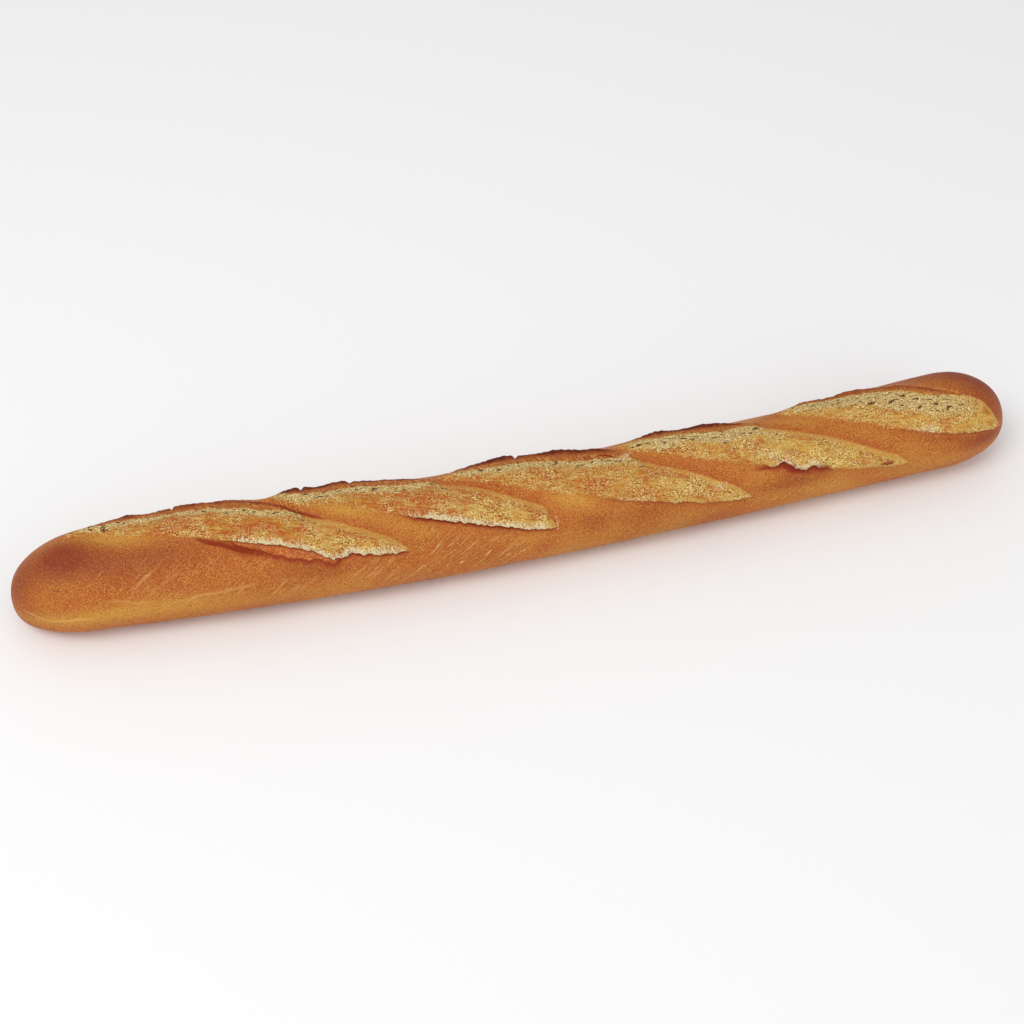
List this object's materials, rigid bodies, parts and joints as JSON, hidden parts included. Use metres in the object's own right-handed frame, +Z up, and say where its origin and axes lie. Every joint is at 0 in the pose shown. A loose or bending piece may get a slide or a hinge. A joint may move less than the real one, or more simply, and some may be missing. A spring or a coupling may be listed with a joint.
{
  "type": "baguette",
  "caption": "Whole uncut baguette with slanting scores opened along its top, lying on a flattened underside.",
  "frame": {"origin": "centre of the loaf's extents, on the flat of its underside", "axes": "+X from the low left tip to the right tip, -Y towards the side the scores run down to, +Z up"},
  "size_m": [0.6, 0.0698, 0.0589],
  "materials": {
    "crust": "browned bread crust, matt with a faint sheen"
  },
  "bodies": {
    "root": {"baguette": "crust"}
  },
  "joints": []
}
